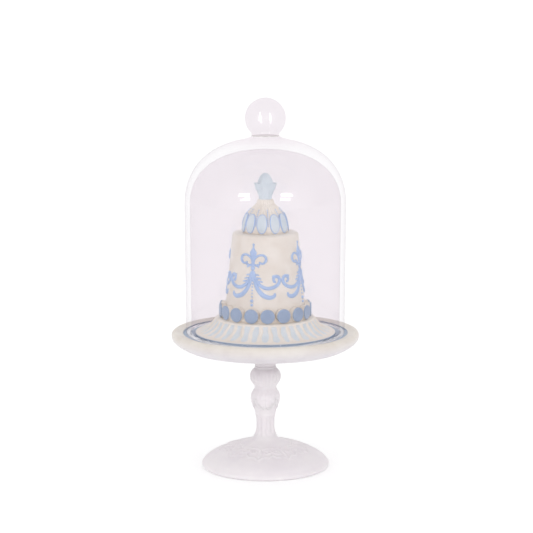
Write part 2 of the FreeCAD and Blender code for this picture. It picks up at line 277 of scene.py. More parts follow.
def bead(wall, azimuth, s, radius, height, segments=12, rows=4, sink=0.2 * MM):
    """Domed bead lying on a wall."""
    size = wall.locate(s)[0]
    verts = [wall.point(azimuth, s, height - sink)]
    for row in range(1, rows + 1):
        tilt = 0.5 * math.pi * row / rows
        for k in range(segments):
            turn = 2 * math.pi * k / segments
            across = radius * math.sin(tilt) * math.cos(turn)
            along = radius * math.sin(tilt) * math.sin(turn)
            verts.append(wall.point(azimuth + math.degrees(across / size), s + along,
                                    height * math.cos(tilt) - sink))
    faces = [(0, 1 + k, 1 + (k + 1) % segments) for k in range(segments)]
    for row in range(rows - 1):
        base = 1 + row * segments
        for k in range(segments):
            n = (k + 1) % segments
            faces.append((base + k, base + segments + k, base + segments + n, base + n))
    faces.append(tuple(1 + (rows - 1) * segments + k for k in range(segments)))
    return verts, faces


def lobe(azimuth, count, phase=0.0):
    """Ridge height from 0 in a valley to 1 on a ridge, for a number of lobes round the axis."""
    return 0.5 - 0.5 * math.cos(math.radians(count * (azimuth - phase)))


def blend(z, points):
    """Value at z on a list of (z, value) pairs, eased between them."""
    for (z0, v0), (z1, v1) in zip(points, points[1:]):
        if z0 <= z <= z1:
            t = (z - z0) / (z1 - z0)
            return v0 + (v1 - v0) * t * t * (3 - 2 * t)
    return points[0][1] if z < points[0][0] else points[-1][1]


# -------- materials

def linear(r, g, b):
    """Scene-linear colour from an sRGB one in 0 to 255."""
    values = []
    for channel in (r, g, b):
        c = channel / 255
        values.append(c / 12.92 if c <= 0.04045 else ((c + 0.055) / 1.055) ** 2.4)
    return (*values, 1.0)


class Nodes:
    """Short-hand for building a material's node tree."""

    def __init__(self, name):
        self.material = bpy.data.materials.new(name)
        self.material.use_nodes = True
        self.tree = self.material.node_tree
        self.tree.nodes.clear()
        self.output = self.add("ShaderNodeOutputMaterial")
        self.where = self.add("ShaderNodeTexCoord").outputs["Object"]

    def add(self, kind, **inputs):
        """New node; an underscore in an input's name stands for a space."""
        node = self.tree.nodes.new(kind)
        for key, value in inputs.items():
            self.put(node.inputs[key.replace("_", " ")], value)
        return node

    def put(self, socket, value):
        """Link an output to a socket, or set the socket's value."""
        if isinstance(value, bpy.types.NodeSocket):
            self.tree.links.new(value, socket)
        else:
            socket.default_value = value

    def noise(self, scale, detail=3.0):
        """Soft noise from 0 to 1."""
        node = self.add("ShaderNodeTexNoise", Vector=self.where, Scale=scale, Detail=detail)
        return node.outputs["Fac"]

    def paint(self):
        """The mesh's "paint" attribute."""
        node = self.add("ShaderNodeAttribute")
        node.attribute_name = "paint"
        return node.outputs["Fac"]

    def height(self):
        """Height above the table."""
        return self.add("ShaderNodeSeparateXYZ", Vector=self.where).outputs["Z"]

    def remap(self, value, low, high, to_low=0.0, to_high=1.0):
        """Value moved from one range to another, and held inside it."""
        node = self.add("ShaderNodeMapRange", Value=value, From_Min=low, From_Max=high,
                        To_Min=to_low, To_Max=to_high)
        return node.outputs["Result"]

    def math(self, kind, a, b):
        """One arithmetic step on two values."""
        node = self.add("ShaderNodeMath")
        node.operation = kind
        self.put(node.inputs[0], a)
        self.put(node.inputs[1], b)
        return node.outputs[0]

    def mix(self, share, a, b):
        """Colour a, with a share of colour b."""
        node = self.add("ShaderNodeMix")
        node.data_type = "RGBA"
        self.put(node.inputs["Factor"], share)
        self.put(node.inputs[6], a)
        self.put(node.inputs[7], b)
        return node.outputs[2]

    def bump(self, height, strength, distance):
        """Normal for fine relief."""
        node = self.add("ShaderNodeBump", Height=height, Strength=strength, Distance=distance)
        return node.outputs["Normal"]

    def mix_shader(self, share, a, b):
        """Shader a, with a share of shader b."""
        node = self.add("ShaderNodeMixShader")
        self.put(node.inputs[0], share)
        self.put(node.inputs[1], a)
        self.put(node.inputs[2], b)
        return node.outputs[0]

    def pass_light(self, shader):
        """Let light through to what the glass covers, instead of shading it."""
        rays = self.add("ShaderNodeLightPath")
        soft = self.math("MAXIMUM", rays.outputs["Is Shadow Ray"], rays.outputs["Is Diffuse Ray"])
        through = self.add("ShaderNodeBsdfTransparent", Color=(0.99, 0.985, 0.988, 1))
        shader = self.mix_shader(soft, shader, through.outputs[0])
        self.tree.links.new(shader, self.output.inputs["Surface"])

    def surface(self, colour, roughness, normal=None, **more):
        """Finish the material with one surface; more fills further inputs."""
        if normal:
            more["Normal"] = normal
        shader = self.add("ShaderNodeBsdfPrincipled", Base_Color=colour, Roughness=roughness,
                          **more)
        self.tree.links.new(shader.outputs[0], self.output.inputs["Surface"])


def dim(colour, share):
    """Colour at a share of its brightness."""
    return (*(share * channel for channel in colour[:3]), 1.0)


def cast_colour(nodes, colour, shade, wear_and_highlight):
    """Cast resin's colour: a cloudy drift, painted shade in the hollows and paler edges, part wear
    and part painted highlight.
    """
    colour, shade, wear_and_highlight = linear(*colour), linear(*shade), linear(*wear_and_highlight)
    cloud = nodes.remap(nodes.noise(90, 4), 0.35, 0.7)
    drift = nodes.mix(cloud, colour, shade)
    point = nodes.add("ShaderNodeNewGeometry").outputs["Pointiness"]
    # painted shade: hollows darken towards the shade colour
    hollow = nodes.remap(point, 0.40, 0.5, 0.55, 0.0)
    # paler sharp edges: part wear, part painted highlight
    edge = nodes.remap(point, 0.53, 0.62, 0.0, 0.6)
    return nodes.mix(edge, nodes.mix(hollow, drift, shade), wear_and_highlight)


SATIN = 0.42


def glaze(nodes, colour, roughness=SATIN, depth=0.16):
    """Satin glaze over a fine cast grain."""
    grain = nodes.math("ADD", nodes.math("MULTIPLY", nodes.noise(1400, 2), 0.35),
                       nodes.noise(220, 3))
    nodes.surface(colour, roughness, nodes.bump(grain, depth, 0.0006), Coat_Weight=0.12,
                  Coat_Roughness=0.3)
    return nodes.material


def resin(name, colour, shade, wear_and_highlight, roughness=SATIN):
    """Cast resin with a satin glaze, soft mottling, painted shade in its hollows and paler edges of
    wear and painted highlight.
    """
    nodes = Nodes(name)
    rough = nodes.remap(nodes.noise(260, 2), 0.3, 0.7, roughness - 0.08, roughness + 0.1)
    return glaze(nodes, cast_colour(nodes, colour, shade, wear_and_highlight), rough)


def two_tone(name, colour, shade, wear_and_highlight, paint, paint_shade):
    """Cream resin, washed with blue where the mesh's "paint" is 1, solid blue above that."""
    nodes = Nodes(name)
    cream = cast_colour(nodes, colour, shade, wear_and_highlight)
    wash = nodes.mix(nodes.remap(nodes.noise(420, 4), 0.3, 0.7), linear(*paint),
                     linear(*paint_shade))
    amount = nodes.paint()
    brush = nodes.math("MULTIPLY", nodes.math("SUBTRACT", nodes.noise(700, 3), 0.5), 0.7)
    mask = nodes.remap(nodes.math("ADD", amount, brush), 0.3, 0.7)
    blue = nodes.mix(nodes.remap(amount, 1.1, 1.5), wash, linear(157, 174, 195))
    return glaze(nodes, nodes.mix(mask, cream, blue))


def frosted_glass():
    """Milky pressed glass with an acid-etched face; painted shade in its hollows and where it nears
    the plate, painted highlight on its ridges.
    """
    nodes = Nodes("frosted_glass")
    point = nodes.add("ShaderNodeNewGeometry").outputs["Pointiness"]
    cloud = nodes.remap(nodes.noise(60, 3), 0.35, 0.65)
    milk = nodes.mix(cloud, linear(235, 230, 232), linear(230, 224, 228))
    # painted shade: hollows darkened
    milk = nodes.mix(nodes.remap(point, 0.42, 0.5, 0.18, 0.0), milk, linear(210, 203, 207))
    # painted highlight: ridges paler
    milk = nodes.mix(nodes.remap(point, 0.51, 0.58, 0.0, 0.5), milk, linear(240, 237, 238))
    # painted shade: greyer from 62 mm up, for the plate's shadow on the collar and upper bulb
    milk = nodes.mix(nodes.remap(nodes.height(), 62 * MM, 86 * MM, 0.0, 0.65), milk,
                     linear(205, 199, 202))
    etch = nodes.bump(nodes.noise(1600, 2), 0.08, 0.0004)
    nodes.surface(milk, 0.5, etch, Subsurface_Weight=0.25, Subsurface_Scale=0.004,
                  Subsurface_Radius=(1.0, 0.95, 0.95), Coat_Weight=0.1, Coat_Roughness=0.35)
    return nodes.material


def clear_glass(name, tint, gleam, waves, deep=None, solid_below=None):
    """Thin clear glass, faintly lilac; gleam is how rough its highlights are.

    Its tint deepens with the mesh's "paint", past 1 too, and where that is 0 only the
    contour is deeper. Below solid_below the thick rim bends light as solid glass does.
    """
    nodes = Nodes(name)
    facing = nodes.add("ShaderNodeLayerWeight", Blend=0.5).outputs["Facing"]
    tone = nodes.mix(nodes.noise(30, 2), tint, dim(tint, 0.994))
    if deep:
        outline = nodes.math("POWER", facing, 4.5)
        tone = nodes.mix(outline, tone, dim(deep, 0.94))
        tone = nodes.mix(nodes.paint(), tone, deep)
        tone.node.clamp_factor = False
    wave = nodes.bump(nodes.noise(28, 1), waves, 0.002)
    clear = nodes.add("ShaderNodeBsdfTransparent", Color=tone).outputs[0]
    gloss = nodes.add("ShaderNodeBsdfGlossy", Roughness=gleam, Normal=wave).outputs[0]
    grazing = nodes.math("POWER", facing, 5.0)
    mirror = nodes.math("ADD", nodes.math("MULTIPLY", grazing, 0.14), 0.045)
    shader = nodes.mix_shader(mirror, clear, gloss)
    if solid_below is not None:
        rim = nodes.remap(nodes.height(), solid_below, solid_below + 1.0 * MM, 0.72, 0.0)
        solid = nodes.add("ShaderNodeBsdfGlass", Color=tint, Roughness=0.0, IOR=1.45)
        shader = nodes.mix_shader(rim, shader, solid.outputs[0])
    nodes.pass_light(shader)
    return nodes.material


CREAM = resin("cream_resin", (235, 230, 221), (225, 217, 205), (242, 239, 233))
# darker copy of the cream: painted shade for the ring and pads between the discs
SHADED_RING_CREAM = resin("shaded_ring_resin", (230, 223, 212), (206, 195, 180), (238, 233, 225))
PALE_BLUE = resin("pale_blue_resin", (213, 223, 229), (200, 213, 222), (228, 234, 237))
PERIWINKLE = resin("periwinkle_resin", (174, 198, 234), (160, 184, 222), (197, 214, 241), 0.32)
DUSTY_BLUE = resin("dusty_blue_resin", (153, 174, 202), (139, 160, 190), (172, 190, 213), 0.34)
SKIRT_PAINT = two_tone("skirt_resin", (240, 234, 223), (231, 223, 209), (245, 241, 232),
                       (208, 221, 228), (222, 227, 228))
FROSTED = frosted_glass()
GLASS = clear_glass("clear_glass", (0.988, 0.982, 0.988, 1.0), 0.015, 0.012,
                    (0.942, 0.915, 0.934, 1.0), DOME_LOW + 1.0 * MM)
KNOB_GLASS = clear_glass("knob_glass", (0.932, 0.903, 0.924, 1.0), 0.03, 0.05)


def plate_resin():
    """Plate glaze: cream on the rim's crown, cooler below, blue in the channel."""
    nodes = Nodes("plate_resin")
    cool = cast_colour(nodes, (223, 218, 221), (216, 210, 215), (231, 227, 228))
    warm = cast_colour(nodes, (224, 217, 209), (216, 207, 198), (232, 226, 219))
    drift = nodes.math("ADD", nodes.height(), nodes.math("MULTIPLY", nodes.noise(40), 0.002))
    base = nodes.mix(nodes.remap(drift, PLATE_LOW + 6 * MM, PLATE_TOP), cool, warm)
    blue = nodes.mix(nodes.remap(nodes.noise(420, 4), 0.3, 0.7), linear(157, 173, 193),
                     linear(142, 158, 180))
    mask = nodes.remap(nodes.paint(), 0.35, 0.65)
    return glaze(nodes, nodes.mix(mask, base, blue), depth=0.14)


PLATE_PAINT = plate_resin()


def joint_line_colour():
    """Pale grey-white colour for the thin ring in the joint under the knob."""
    nodes = Nodes("joint_line")
    colour = nodes.mix(nodes.noise(500, 2), linear(236, 236, 232), linear(225, 226, 220))
    nodes.surface(colour, 0.25)
    return nodes.material


# -------- pedestal

def foot_wall():
    """Upper face of the foot, from the stem outwards."""
    points = [(9.4 * MM, FOOT_TOP), (12.1 * MM, FOOT_TOP - 3.1 * MM),
              (22.0 * MM, FOOT_TOP - 6.7 * MM), (33.0 * MM, FOOT_TOP - 10.2 * MM),
              (42.0 * MM, FOOT_TOP - 13.6 * MM), (48.5 * MM, FOOT_TOP - 17.6 * MM),
              (FOOT_R, FLOOR_Z + 3.6 * MM)]
    return Wall(smooth(points, 14))


def emboss(paths, repeats, phase, size, height):
    """Height of soft strokes as a function of a place; each repeat is mirrored on itself."""
    marks = [point for path in paths for point in smooth(path, 6)]
    pitch = 360.0 / repeats

    def rise(azimuth, radius, s):
        """Height at a place, from its nearest mark."""
        turn = abs((azimuth - phase) % pitch - 0.5 * pitch)
        x = math.radians(turn) * radius / MM
        y = s / MM
        near = min((x - mx) ** 2 + (y - my) ** 2 for mx, my in marks)
        return height * math.exp(-near / size ** 2)

    return rise


SCROLLS = 9
SCROLL_PHASE = 11.0
SCROLL_BAND = (11 * MM, 34 * MM)


def foot():
    """Domed foot, hollow underneath, with a ring of pressed scrolls."""
    wall = foot_wall()
    edge = smooth([(FOOT_R, FLOOR_Z + 3.6 * MM), (FOOT_R - 0.2 * MM, FLOOR_Z + 1.4 * MM),
                   (FOOT_R - 2.1 * MM, FLOOR_Z)], 5)
    hollow = smooth([(47.5 * MM, FLOOR_Z), (42.0 * MM, 5.0 * MM), (33.0 * MM, 8.4 * MM),
                     (22.0 * MM, 11.2 * MM), (6.0 * MM, 13.4 * MM)], 6)
    profile = [(0, FOOT_TOP)] + wall.profile + edge[1:] + hollow + [(0, 13.5 * MM)]
    scroll = [(1.0, 15.4), (4.4, 13.8), (8.2, 15.2), (9.2, 19.0), (6.8, 22.2), (3.6, 21.2),
              (3.4, 18.6), (5.4, 18.2)]
    tendril = [(0.6, 31.2), (4.2, 27.4), (8.4, 28.0), (10.8, 25.0), (13.0, 22.0)]
    leaf = [(0.0, 17.0), (0.0, 21.5), (0.0, 27.0)]
    rise = emboss((scroll, tendril, leaf), SCROLLS, SCROLL_PHASE, 0.95, 0.8 * MM)

    def pressed(azimuth, index, r, z):
        s = wall.along[index] if index < len(wall.along) else math.inf
        if not SCROLL_BAND[0] < s < SCROLL_BAND[1]:
            return r, z
        lift = rise(azimuth, r, s)
        normal = wall.locate(s)[2]
        return r + lift * normal.x, z + lift * normal.y

    piece = make_object("foot", *spin(profile, 540, pressed), FROSTED, "stand")
    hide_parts("pedestal_foot")


SHAFT_FLUTES = 10
BULB_PANELS = 16
BULB_RIBS = 22
SWAGS = 4


def stem():
    """Pressed stem: fluted shaft, ringed neck, bulb with four swags, waist, ribbed bulb."""
    points = [(9.6, 25.5), (8.5, 28.0), (7.6, 31.5), (7.4, 36.0), (7.5, 40.0), (8.1, 43.0),
              (8.45, 44.1), (8.4, 45.1), (8.7, 46.1), (8.95, 47.2), (9.8, 49.2),
              (11.0, 52.2), (12.0, 55.4), (12.3, 58.2), (11.7, 61.0), (10.2, 63.6), (9.1, 65.6),
              (9.1, 67.2), (10.4, 69.2), (12.0, 71.8), (12.7, 75.0), (12.4, 77.8),
              (11.2, 80.2), (9.4, 82.0)]
    profile = [(0, STEM_LOW)] + smooth(metres(points), 4) + [(0, STEM_TOP)]

    def bend(azimuth, index, r, z):
        height = z / MM
        flutes = blend(height, [(26, 0.1), (29, 0.8), (41, 0.7), (43.5, 0.0)])
        panels = blend(height, [(47, 0.0), (54, 0.5), (62, 0.4), (65, 0.0)])
        ribs = blend(height, [(67, 0.05), (71, 0.45), (77, 0.6), (81.5, 0.1)])
        cut = flutes * (1 - lobe(azimuth, SHAFT_FLUTES, phase=6)) ** 2
        cut += panels * (1 - lobe(azimuth, BULB_PANELS)) ** 2
        cut += ribs * (1 - lobe(azimuth, BULB_RIBS))
        return r - cut * MM, z

    total = spin(profile, 220, bend)
    wall = Wall([(r, z) for r, z in reversed(profile[1:-1])])
    for i in range(SWAGS):
        centre = 360.0 / SWAGS * i
        for flip in (-1, 1):
            path = [(centre + flip * turn, wall.distance(z * MM))
                    for turn, z in ((43, 58.0), (41, 55.0), (33, 52.2), (20, 50.4), (2, 49.9))]
            add_mesh(total, relief(wall, path, [1.6 * MM, 2.4 * MM, 2.8 * MM, 2.4 * MM, 2.0 * MM],
                                   0.75 * MM, sink=0.2 * MM, round_off=1.5))
    piece = make_object("stem", *total, FROSTED, "stand")
    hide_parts("pedestal_stem")


def collar():
    """Short round collar with a groove, between stem and plate."""
    low = COLLAR_LOW
    high = COLLAR_TOP
    points = [(0, low), (COLLAR_R, low), (COLLAR_R - 0.1 * MM, low + 1.5 * MM),
              (COLLAR_R - 0.7 * MM, low + 2.1 * MM),
              (COLLAR_R - 0.7 * MM, low + 2.7 * MM), (COLLAR_R, low + 3.3 * MM),
              (COLLAR_R, low + 5.0 * MM), (COLLAR_R - 0.6 * MM, low + 5.6 * MM),
              (COLLAR_R - 0.6 * MM, high), (0, high)]
    piece = make_object("neck_collar", *spin(points, 96), FROSTED, "stand")
    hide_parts("stem_collar")


# -------- plate and skirt

def set_paint(piece, amount):
    """Write the "paint" attribute from a function of azimuth, radius and height."""
    mesh = piece.data
    attribute = mesh.attributes.new("paint", "FLOAT", "POINT")
    for vertex in mesh.vertices:
        x, y, z = vertex.co
        azimuth = math.degrees(math.atan2(x, -y))
        attribute.data[vertex.index].value = amount(azimuth, math.hypot(x, y), z)


def plate():
    """Plate with a rolled rim and a shallow painted channel for the dome's edge."""
    low = PLATE_LOW
    lip = PLATE_R - 9.4 * MM
    rim = smooth([(PLATE_R - 26.6 * MM, low + 1.0 * MM), (PLATE_R - 19.6 * MM, low + 0.4 * MM),
                  (PLATE_R - 13.4 * MM, low + 0.02 * MM), (PLATE_R - 5.5 * MM, low + 3.8 * MM),
                  (PLATE_R - 1.2 * MM, low + 7.6 * MM), (PLATE_R, low + 11.0 * MM),
                  (PLATE_R - 0.7 * MM, PLATE_TOP - 1.4 * MM),
                  (PLATE_R - 3.0 * MM, PLATE_TOP - 0.03 * MM),
                  (PLATE_R - 6.2 * MM, PLATE_TOP - 0.5 * MM), (lip, PLATE_TOP - 1.4 * MM)], 8)
    floor = [(lip, SEAT_Z + 0.4 * MM), (lip - 0.5 * MM, SEAT_Z)]
    floor += [(lip - step * MM, SEAT_Z) for step in (1.5, 3.0, 5.0, 8.0, 11.0, 20.0)]
    profile = [(0, low + 1.1 * MM)] + rim + floor + [(0, SEAT_Z)]

    def wobble(azimuth, index, r, z):
        turn = math.radians(azimuth)
        return r - 0.1 * MM * (1 + math.sin(3 * turn + 0.7) * math.cos(2 * turn)), z

    piece = make_object("cake_plate", *spin(profile, 256, wobble), PLATE_PAINT, "stand", 60)
    brim = lip + 0.25 * MM
    set_paint(piece, lambda azimuth, r, z: clamp((brim - r) / (0.5 * MM))
              if z > low + 8 * MM else 0.0)
    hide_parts("plate")


PLEATS = 36
POINTS_IN_A_PLEAT = 18


def skirt():
    """Ruffled skirt: narrow wavy ribs, blue-washed hollows and a cream hem on a blue foot."""
    low = SEAT_Z
    points = [(SKIRT_R - 0.4 * MM, low), (SKIRT_R - 0.3 * MM, low + 1.3 * MM),
              (SKIRT_R - 1.0 * MM, low + 2.0 * MM), (53.4 * MM, low + 2.9 * MM),
              (50.6 * MM, low + 3.9 * MM), (47.3 * MM, low + 6.0 * MM), (44.5 * MM, low + 8.6 * MM),
              (42.2 * MM, low + 11.4 * MM), (40.6 * MM, SKIRT_TOP - 0.6 * MM),
              (39.6 * MM, SKIRT_TOP)]
    profile = [(0, low)] + smooth(points, 7) + [(0, SKIRT_TOP)]
    depth = [(low, 0.0), (low + 1.6 * MM, 0.1), (low + 3.2 * MM, 1.0), (low + 6 * MM, 1.5),
             (SKIRT_TOP - 3 * MM, 1.2), (SKIRT_TOP, 0.1)]

    def place(azimuth, z):
        """How far across its pleat a point is: 0 in the hollow, 0.5 on a rib."""
        turn = math.radians(azimuth)
        lift = (z - low) / MM
        sway = 0.045 * math.sin(11 * turn + 0.55 * lift)
        sway += 0.035 * math.sin(23 * turn - 0.9 * lift + 2.0)
        return (PLEATS * azimuth / 360.0 + sway + 0.5) % 1.0 - 0.5

    def bend(azimuth, index, r, z):
        rib = math.exp(-((abs(place(azimuth, z)) - 0.5) / 0.17) ** 2)
        turn = math.radians(azimuth)
        crumple = 0.16 * math.sin(47 * turn + 1.3 * z / MM) * math.sin(31 * turn - 0.9 * z / MM)
        return r - blend(z, depth) * MM * (1 - rib + crumple * rib + 0.08), z

    piece = make_object("pleated_skirt", *spin(profile, PLEATS * POINTS_IN_A_PLEAT, bend),
                        SKIRT_PAINT, "stand", 75)

    def paint(azimuth, r, z):
        """Solid blue on the foot, and blue in the hollows between hem and top."""
        lift = (z - low) / MM
        foot_top = 1.9
        if lift < foot_top:
            return 1.6 * clamp((foot_top - lift) / 0.4)
        across = abs(place(azimuth, z))
        hem = 2.3 + 0.9 * (across / 0.3) ** 2
        top = 13.2
        ends = clamp((lift - hem) / 0.7) * clamp((top - lift) / 0.8)
        return ends * clamp((0.33 - across) / 0.09)

    set_paint(piece, paint)
    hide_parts("skirt")


# -------- disc row

def puck(azimuth, centre_z, radius, back, front, ease, floor):
    """Round pad facing outwards, with eased edges and its lower edge cut level at a floor."""
    segments = 40
    arc = 4
    rows = [(0.0, front)]
    rows += [(radius * f, front - 0.05 * MM * f) for f in (0.35, 0.7)]
    for k in range(arc + 1):
        turn = 0.5 * math.pi * k / arc
        rows.append((radius - ease + ease * math.sin(turn), front - ease * (1 - math.cos(turn))))
    rows.append((radius, back))
    rows.append((0.0, back))
    outward = on_axis(1.0, azimuth, 0.0)
    side = on_axis(1.0, azimuth + 90.0, 0.0)
    verts = []
    faces = []
    starts = []
    for r, depth in rows:
        starts.append(len(verts))
        count = segments if r else 1
        for k in range(count):
            turn = 2 * math.pi * k / segments
            point = outward * depth + side * (r * math.cos(turn))
            point.z = max(floor, centre_z + r * math.sin(turn))
            verts.append(point)
    for row in range(len(rows) - 1):
        a = starts[row]
        b = starts[row + 1]
        for k in range(segments):
            n = (k + 1) % segments
            if rows[row][0] == 0:
                faces.append((a, b + k, b + n))
            elif rows[row + 1][0] == 0:
                faces.append((a + k, b, a + n))
            else:
                faces.append((a + k, b + k, b + n, a + n))
    return verts, faces


def disc_row():
    """Blue discs, each on a cream pad, against a cream ring; ring and pads take a darker cream as
    painted shade between the discs.
    """
    names = sorted(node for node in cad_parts
                   if node.startswith("disc_") and node[5].isdigit())
    inner = TIER_R - 1.0 * MM
    ring = 35.2 * MM
    profile = smooth([(ring - 0.2 * MM, SKIRT_TOP), (ring, SKIRT_TOP + 2.5 * MM),
                      (ring - 0.7 * MM, SKIRT_TOP + 4.5 * MM), (inner, SKIRT_TOP + 6.5 * MM)], 5)
    total = spin([(0, SKIRT_TOP)] + profile + [(0, SKIRT_TOP + 6.5 * MM)], 160)
    disc_r = 5.8 * MM
    face = 37.5 * MM
    thickness = 1.2 * MM
    for name in names:
        azimuth = azimuth_of(name)
        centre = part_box(name)[1].z - disc_r + 0.05 * MM
        add_mesh(total, puck(azimuth, centre - 0.2 * MM, disc_r + 0.15 * MM, inner,
                             face - 0.9 * thickness, 0.6 * MM, SKIRT_TOP + 0.05 * MM))
        jitter = random.uniform(-0.12, 0.12) * MM
        shape = puck(azimuth + 4 * jitter / MM, centre, disc_r, face - thickness,
                     face + jitter, 0.55 * MM, SKIRT_TOP + 0.1 * MM)
        piece = make_object(name.replace("disc", "blue_disc"), *shape, DUSTY_BLUE, "stand")
        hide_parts(name)
    # ring and pads in the darker cream: painted shade between the discs
    piece = make_object("disc_ring", *total, SHADED_RING_CREAM, "stand")
    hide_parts("disc_ledge")


# -------- middle tier and its relief

def tier_profile():
    """Tier's side from its rounded top edge down to its foot."""
    top_r = 26.8 * MM
    edge = 2.0 * MM
    return [(top_r - edge, TIER_TOP), (top_r - 0.6 * edge, TIER_TOP - 0.15 * edge),
            (top_r - 0.15 * edge, TIER_TOP - 0.5 * edge), (top_r + 0.1 * MM, TIER_TOP - edge),
            (TIER_R, TIER_LOW)]


def tier():
    """Tapered tier with a soft top edge and a slightly uneven hand-made side."""
    side = tier_profile()
    rows = side[:-1]
    steps = 24
    for k in range(1, steps + 1):
        share = k / steps
        rows.append(tuple(a + share * (b - a) for a, b in zip(side[-2], side[-1])))
    profile = [(0, TIER_TOP), (20 * MM, TIER_TOP)] + rows + [(0, TIER_LOW)]

    def hand_made(azimuth, index, r, z):
        turn = math.radians(azimuth)
        dent = 0.09 * math.sin(3 * turn + z / MM * 0.06) + 0.05 * math.sin(7 * turn - z / MM * 0.11)
        return r - (0.1 + dent) * MM, z

    piece = make_object("cake_tier", *spin(profile, 192, hand_made), CREAM, "stand")
    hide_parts("middle_tier")


def motif(number, wall):
    """Fleur-de-lis, tassel with garlands, and pearls, round one azimuth of the tier."""
    centre = azimuth_of("fleur_%d" % number)

    def route(points, flip):
        """Places on the wall, from degrees to one side of the centre and heights in mm."""
        return [(centre + flip * degrees, wall.distance(TIER_LOW + height * MM))
                for degrees, height in points]

    def stroke(total, points, widths, height, groove=0.0, mirror=True):
        """Stroke along a route, and its mirror image."""
        for flip in (-1, 1) if mirror else (1,):
            add_mesh(total, relief(wall, route(points, flip), [w * MM for w in widths],
                                   height * MM, groove=groove))

    def boss(total, degrees, height, radius, proud, mirror=False):
        """Round bead at a place, or at it and its mirror image."""
        for flip in (-1, 1) if mirror else (1,):
            (place, s), = route([(degrees, height)], flip)
            add_mesh(total, bead(wall, place, s, radius * MM, proud * MM))

    fleur = ([], [])
    stroke(fleur, [(0, 62.6), (0, 60.2), (0, 56.6), (0, 52.6), (0, 47.4)],
           [1.2, 1.7, 6.4, 4.3, 3.0], 1.5, 0.0, False)
    boss(fleur, 0, 62.9, 1.05, 1.0)
    stroke(fleur, [(1.0, 50.0), (4.6, 52.8), (9.8, 54.4), (15.4, 54.7), (19.8, 53.6),
                   (21.3, 51.2), (19.2, 48.9), (15.2, 47.9), (11.2, 48.6)],
           [1.5, 1.9, 1.9, 2.0, 2.2, 2.4, 2.1, 1.8, 1.6], 1.25)
    boss(fleur, 11.4, 48.6, 1.1, 1.1, True)
    stroke(fleur, [(0.2, 47.6), (5.2, 46.4), (9.2, 47.0), (12.2, 46.6)], [2.4, 2.0, 1.8, 1.1], 1.1)
    stroke(fleur, [(5.6, 46.8), (10.4, 44.6)], [1.9, 1.1], 1.0)
    boss(fleur, 0, 44.2, 1.9, 1.6)
    boss(fleur, 0, 46.9, 1.7, 1.3)
    piece = make_object("fleur_de_lis_%d" % number, *fleur, PERIWINKLE, "stand")
    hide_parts("fleur_%d" % number)

    garland = ([], [])
    stroke(garland, [(0, 42.6), (0, 38.0), (0, 33.4)], [3.4, 4.2, 3.4], 1.4, 0.3, False)
    stroke(garland, [(1.4, 42.0), (2.8, 39.0), (4.8, 34.8)], [1.8, 2.5, 2.1], 1.3, 0.25)
    stroke(garland, [(3.8, 37.0), (10.6, 31.4), (20.5, 28.4), (30.5, 28.6), (38.6, 30.8),
                     (42.3, 34.2), (40.2, 37.2), (35.4, 37.6), (32.6, 35.6), (34.2, 33.4),
                     (36.8, 33.6)],
           [2.4, 2.7, 3.0, 3.0, 3.0, 3.0, 2.9, 2.7, 2.4, 2.2, 2.0], 1.35)
    boss(garland, 33.0, 37.4, 1.5, 1.2, True)
    stroke(garland, [(2.6, 35.0), (7.4, 28.6), (15.5, 23.2), (25.5, 20.9), (33.0, 21.8),
                     (34.6, 24.6)],
           [2.4, 3.3, 4.0, 3.7, 2.9, 1.8], 1.35)
    for leaf in (((2.6, 38.3), (6.6, 39.0), (11.0, 38.4)),
                 ((4.0, 35.7), (9.0, 36.3), (14.2, 35.7)),
                 ((7.0, 33.2), (11.8, 33.8), (16.8, 33.2))):
        stroke(garland, leaf, [1.9, 1.5, 0.7], 1.25, 0.2)
    piece = make_object("swag_garland_%d" % number, *garland, PERIWINKLE, "stand")
    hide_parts("garland_%d" % number)

    pearls = ([], [])
    for height, radius in ((31.6, 0.72), (29.1, 0.72), (26.5, 0.72), (24.0, 0.72), (21.4, 0.78),
                           (18.0, 1.4), (14.7, 1.2)):
        boss(pearls, 0, height, radius, 1.25 * radius)
    piece = make_object("pearls_%d" % number, *pearls, PERIWINKLE, "stand")
    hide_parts("pearl_drop_%d" % number)


# -------- top tier

def bell_profile():
    """Bell's side from its top down."""
    points = [(7.7, 22.9), (9.5, 21.4), (11.8, 19.1), (14.2, 16.3), (16.3, 13.2), (17.8, 9.3),
              (18.45, 5.3), (18.5, 2.3), (18.0, 0.0)]
    return smooth(metres(points, BELL_LOW), 5)


GADROONS = 33


def bell():
    """Bell with gadroons that deepen towards its neck."""
    profile = bell_profile()

    def flutes(azimuth, index, r, z):
        height = (z - BELL_LOW) / MM
        depth = blend(height, [(0, 0.1), (4, 0.2), (12, 0.4), (17, 0.8), (22.9, 0.6)])
        return r - depth * MM * (1 - lobe(azimuth, GADROONS, phase=2.5)), z

    piece = make_object("cake_top", *spin([(0, BELL_TOP)] + profile + [(0, BELL_LOW)], 240,
                                          flutes), CREAM, "stand")
    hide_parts("top_tier")


def ellipse(centre_azimuth, centre_s, half_width, half_height, wall, count=20):
    """Ellipse on a wall, as (azimuth, distance) points."""
    points = []
    for k in range(count):
        turn = 2 * math.pi * k / count
        s = centre_s - half_height * math.cos(turn)
        across = math.degrees(half_width * math.sin(turn) / wall.locate(s)[0])
        points.append((centre_azimuth + across, s))
    return points


MEDALLIONS = sorted(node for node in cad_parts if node.startswith("medallion_"))


